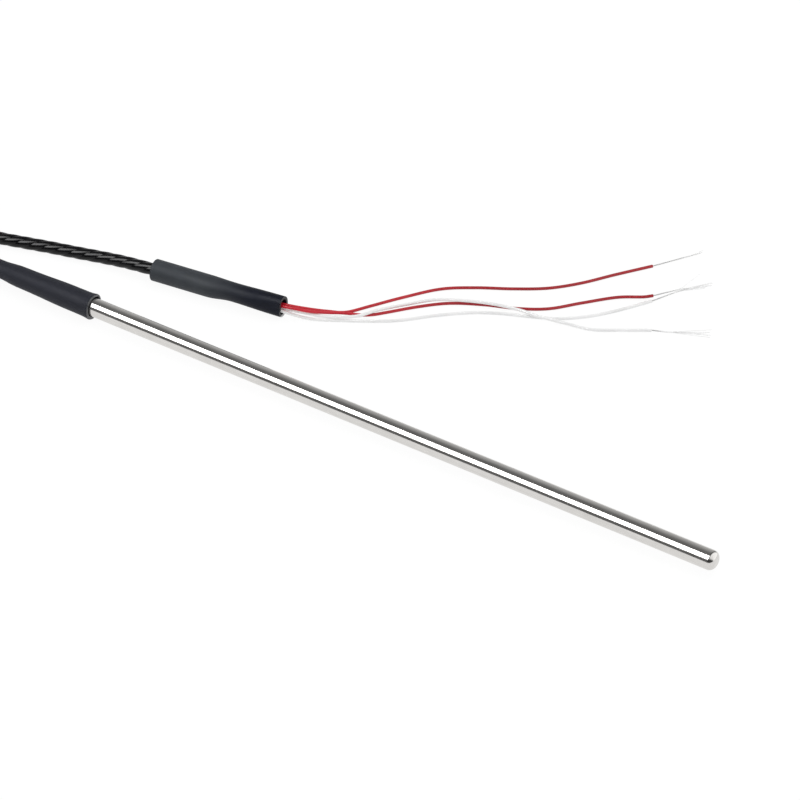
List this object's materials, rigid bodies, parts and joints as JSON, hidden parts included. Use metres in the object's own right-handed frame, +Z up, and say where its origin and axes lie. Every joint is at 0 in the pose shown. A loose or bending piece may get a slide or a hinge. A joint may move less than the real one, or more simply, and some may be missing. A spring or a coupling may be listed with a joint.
{
  "type": "cable temperature probe without a connection head",
  "caption": "Straight steel temperature probe with a closed rounded tip, a shrunk boot, a coiled black cable and a sleeved break-out to four insulated wires with bare ends.",
  "frame": {"origin": "on the surface the probe lies on, below the middle of the sheath and boot", "axes": "+X along the sheath towards its closed tip, +Z up, +Y to the side where the lead lies"},
  "size_m": [0.364, 0.1421, 0.0098],
  "materials": {
    "sheath_steel": "drawn and polished stainless tube",
    "filler_powder": "packed white oxide powder",
    "element_ceramic": "fired alumina",
    "platinum": "bright drawn wire",
    "seal_glaze": "fired glass glaze",
    "splice_brass": "plain crimped barrel",
    "splice_film": "thin milky film",
    "red_insulation": "smooth satin insulation",
    "white_insulation": "smooth satin insulation",
    "tinned_copper": "fine tinned strands",
    "potting_resin": "cast resin",
    "sleeve_adhesive": "set hot-melt adhesive",
    "boot_shrink": "soft satin shrunk tube",
    "cable_jacket": "glossy extruded jacket",
    "tie_nylon": "moulded nylon"
  },
  "bodies": {
    "root": {"sheath": "sheath_steel", "thermal_filler": "filler_powder", "element_body": "element_ceramic", "element_winding": "platinum", "element_seal_front": "seal_glaze", "element_seal_rear": "seal_glaze", "element_lead_red": "platinum", "element_lead_white": "platinum", "splice_red": "splice_brass", "splice_white": "splice_brass", "splice_sleeve_red": "splice_film", "splice_sleeve_white": "splice_film", "core_red_1": "red_insulation", "core_red_2": "red_insulation", "core_white_1": "white_insulation", "core_white_2": "white_insulation", "conductor_red_1": "tinned_copper", "conductor_red_2": "tinned_copper", "conductor_white_1": "tinned_copper", "conductor_white_2": "tinned_copper", "rear_potting": "potting_resin", "boot_lining": "sleeve_adhesive", "boot": "boot_shrink", "cable_from_boot": "cable_jacket", "cable_coil": "cable_jacket", "coil_tie": "tie_nylon", "cable_to_sleeve": "cable_jacket", "sleeve_adhesive": "sleeve_adhesive", "transition_sleeve": "boot_shrink", "wire_red_1": "red_insulation", "wire_red_2": "red_insulation", "wire_white_1": "white_insulation", "wire_white_2": "white_insulation", "strands_red_1": "tinned_copper", "strands_red_2": "tinned_copper", "strands_white_1": "tinned_copper", "strands_white_2": "tinned_copper"}
  },
  "joints": []
}
